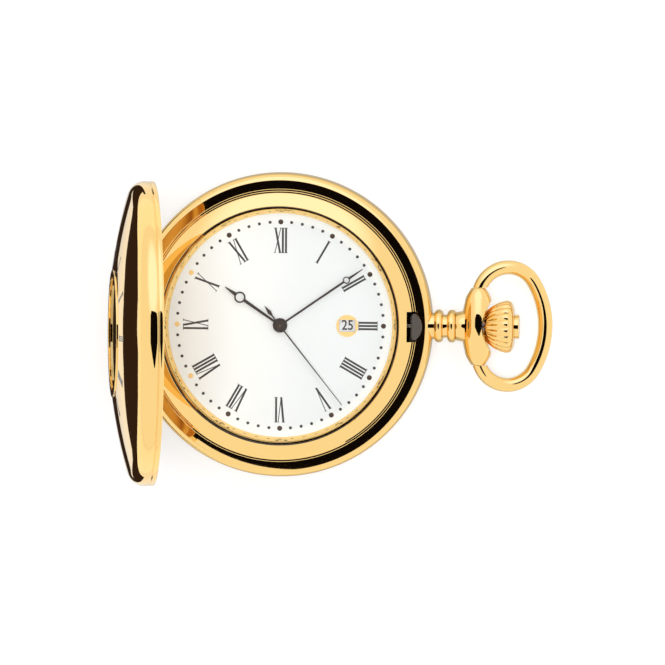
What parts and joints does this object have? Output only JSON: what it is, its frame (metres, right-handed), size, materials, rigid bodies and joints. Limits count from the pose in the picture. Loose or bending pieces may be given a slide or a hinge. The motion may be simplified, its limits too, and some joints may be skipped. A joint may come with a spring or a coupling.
{
  "type": "pocket watch",
  "caption": "Round pocket watch with a hinged front lid that has a small glazed window, a fluted crown in a turned pendant, and an oval bow.",
  "frame": {"origin": "centre of the flat face of the back cover, on which the watch lies", "axes": "+Z out of the dial, +X to the crown at three o'clock, +Y to twelve o'clock"},
  "size_m": [0.0689, 0.048, 0.0543],
  "materials": {
    "gold_case": "polished pale gold plate",
    "movement_brass": "satin brass",
    "steel": "fine ground steel",
    "hand_metal": "polished dark brown lacquer",
    "dial_lacquer": "smooth ivory lacquer",
    "date_paint": "matt pale grey print ground",
    "crystal_glass": "clear polished mineral glass",
    "seal_plastic": "dark smoked seal",
    "seal_rubber": "soft black seal",
    "holder_plastic": "moulded pale plastic",
    "board_green": "coated circuit board",
    "chip_black": "moulded black resin",
    "coil_copper": "enamelled copper winding",
    "cell_steel": "nickel-plated cell"
  },
  "bodies": {
    "root": {"case_middle": "gold_case", "back_cover": "gold_case", "bezel": "gold_case", "hinge_pin": "gold_case", "pendant": "gold_case", "date_frame": "gold_case", "hour_dots": "gold_case", "main_plate": "movement_brass", "train_bridge": "movement_brass", "spring_screws": "steel", "holder_screws": "steel", "bridge_screws": "steel", "battery_clamp": "steel", "stator": "steel", "date_guard": "steel", "dial": "dial_lacquer", "crystal": "crystal_glass", "crystal_gasket": "seal_plastic", "back_gasket": "seal_rubber", "pendant_gasket": "seal_rubber", "movement_holder": "holder_plastic", "circuit_board": "board_green", "chip": "chip_black", "coil": "coil_copper", "battery": "cell_steel", "quartz_can": "cell_steel"},
    "lid": {"lid": "gold_case", "lid_window_ring": "gold_case", "lid_window_glass": "crystal_glass"},
    "lift_spring": {"lift_spring": "steel"},
    "lock_spring": {"lock_spring": "steel"},
    "sliding_pinion": {"sliding_pinion": "steel"},
    "winding_stem": {"winding_stem": "steel"},
    "crown": {"crown": "gold_case", "crown_cap": "gold_case", "push_sleeve": "steel"},
    "setting_lever": {"setting_lever": "steel"},
    "yoke": {"yoke": "steel"},
    "bow": {"bow": "gold_case"},
    "seconds": {"seconds_wheel": "movement_brass", "seconds_hand": "hand_metal"},
    "rotor": {"rotor": "steel"},
    "intermediate_wheel": {"intermediate_wheel": "movement_brass"},
    "third_wheel": {"third_wheel": "movement_brass"},
    "minutes": {"centre_wheel": "movement_brass", "minute_hand": "hand_metal"},
    "minute_wheel": {"minute_wheel": "movement_brass"},
    "hours": {"hour_wheel": "movement_brass", "hour_hand": "hand_metal"},
    "date_driving_wheel": {"date_driving_wheel": "movement_brass"},
    "setting_wheel": {"setting_wheel": "movement_brass"},
    "date_disc": {"date_disc": "date_paint"},
    "date_jumper": {"date_jumper": "steel"}
  },
  "joints": [
    {"name": "lid_hinge", "type": "hinge", "parent": "root", "child": "lid", "pos_m": [-0.0227, 0, 0.0081], "axis": [0, 1, 0], "range_deg": [0, 81.5], "stiffness_Nm_per_rad": 0.004, "springref_deg": -28.65},
    {"name": "lift_spring_flex", "type": "hinge", "parent": "root", "child": "lift_spring", "pos_m": [-0.01453, 0.01453, 0.0052], "axis": [0.7071, -0.7071, 0], "range_deg": [0, 1.9]},
    {"name": "crown_turn", "type": "hinge", "parent": "root", "child": "sliding_pinion", "pos_m": [0.008, 0, 0.0044], "axis": [1, 0, 0], "continuous": true},
    {"name": "crown_pull", "type": "slide", "parent": "sliding_pinion", "child": "winding_stem", "axis": [1, 0, 0], "range_m": [0, 0.001]},
    {"name": "crown_press", "type": "slide", "parent": "winding_stem", "child": "crown", "axis": [1, 0, 0], "range_m": [-0.0006, 0], "stiffness_N_per_m": 800, "springref_m": 0.0005},
    {"name": "latch_release", "type": "hinge", "parent": "root", "child": "lock_spring", "pos_m": [0.01683, -0.01179, 0.0052], "axis": [0, 0, 1], "range_deg": [0, 3.1]},
    {"name": "setting_lever_turn", "type": "hinge", "parent": "root", "child": "setting_lever", "pos_m": [0.0115, -0.0036, 0.0043], "axis": [0, 0, -1], "range_deg": [0, 18]},
    {"name": "yoke_turn", "type": "hinge", "parent": "root", "child": "yoke", "pos_m": [0.008, -0.004, 0.0043], "axis": [0, 0, 1], "range_deg": [0, 6]},
    {"name": "bow_swing", "type": "hinge", "parent": "root", "child": "bow", "pos_m": [0.0312, 0, 0.0044], "axis": [0, -1, 0], "range_deg": [-75, 109]},
    {"name": "seconds_turn", "type": "hinge", "parent": "root", "child": "seconds", "pos_m": [0, 0, 0.006], "axis": [0, 0, -1], "continuous": true},
    {"name": "rotor_turn", "type": "hinge", "parent": "root", "child": "rotor", "pos_m": [-0.00598, -0.00108, 0.004], "axis": [0, 0, -1], "continuous": true},
    {"name": "intermediate_turn", "type": "hinge", "parent": "root", "child": "intermediate_wheel", "pos_m": [-0.00355, 0.00063, 0.004], "axis": [0, 0, -1], "continuous": true},
    {"name": "third_turn", "type": "hinge", "parent": "root", "child": "third_wheel", "pos_m": [-0.00059, 0.00335, 0.004], "axis": [0, 0, -1], "continuous": true},
    {"name": "minute_turn", "type": "hinge", "parent": "root", "child": "minutes", "pos_m": [0, 0, 0.006], "axis": [0, 0, -1], "continuous": true},
    {"name": "minute_wheel_turn", "type": "hinge", "parent": "root", "child": "minute_wheel", "pos_m": [0.0026, 0, 0.005], "axis": [0, 0, -1], "continuous": true},
    {"name": "hour_turn", "type": "hinge", "parent": "root", "child": "hours", "pos_m": [0, 0, 0.006], "axis": [0, 0, -1], "continuous": true},
    {"name": "date_wheel_turn", "type": "hinge", "parent": "root", "child": "date_driving_wheel", "pos_m": [-0.00393, -0.00275, 0.0054], "axis": [0, 0, -1], "continuous": true},
    {"name": "setting_wheel_turn", "type": "hinge", "parent": "root", "child": "setting_wheel", "pos_m": [0.00585, 0, 0.005], "axis": [0, 0, -1], "continuous": true},
    {"name": "date_disc_turn", "type": "hinge", "parent": "root", "child": "date_disc", "pos_m": [0, 0, 0.0056], "axis": [0, 0, -1], "continuous": true},
    {"name": "date_jumper_flex", "type": "hinge", "parent": "root", "child": "date_jumper", "pos_m": [0.0055, 0.0046, 0.0056], "axis": [0, 0, 1], "range_deg": [-4, 0.5], "stiffness_Nm_per_rad": 0.0002}
  ],
  "couplings": [
    {"joint": "lift_spring_flex", "follows": "lid_hinge", "ratio": 0.0219},
    {"joint": "latch_release", "follows": "crown_press", "rad_per_m": -86.2},
    {"joint": "setting_lever_turn", "follows": "crown_pull", "rad_per_m": 305},
    {"joint": "yoke_turn", "follows": "crown_pull", "rad_per_m": 100},
    {"joint": "rotor_turn", "follows": "seconds_turn", "ratio": 30},
    {"joint": "intermediate_turn", "follows": "seconds_turn", "ratio": -3},
    {"joint": "third_turn", "follows": "seconds_turn", "ratio": -0.13333},
    {"joint": "minute_turn", "follows": "seconds_turn", "ratio": 0.016667},
    {"joint": "minute_wheel_turn", "follows": "seconds_turn", "ratio": -0.0055556},
    {"joint": "hour_turn", "follows": "seconds_turn", "ratio": 0.0013889},
    {"joint": "date_wheel_turn", "follows": "seconds_turn", "ratio": -0.00069444},
    {"joint": "setting_wheel_turn", "follows": "seconds_turn", "ratio": 0.0083333}
  ]
}
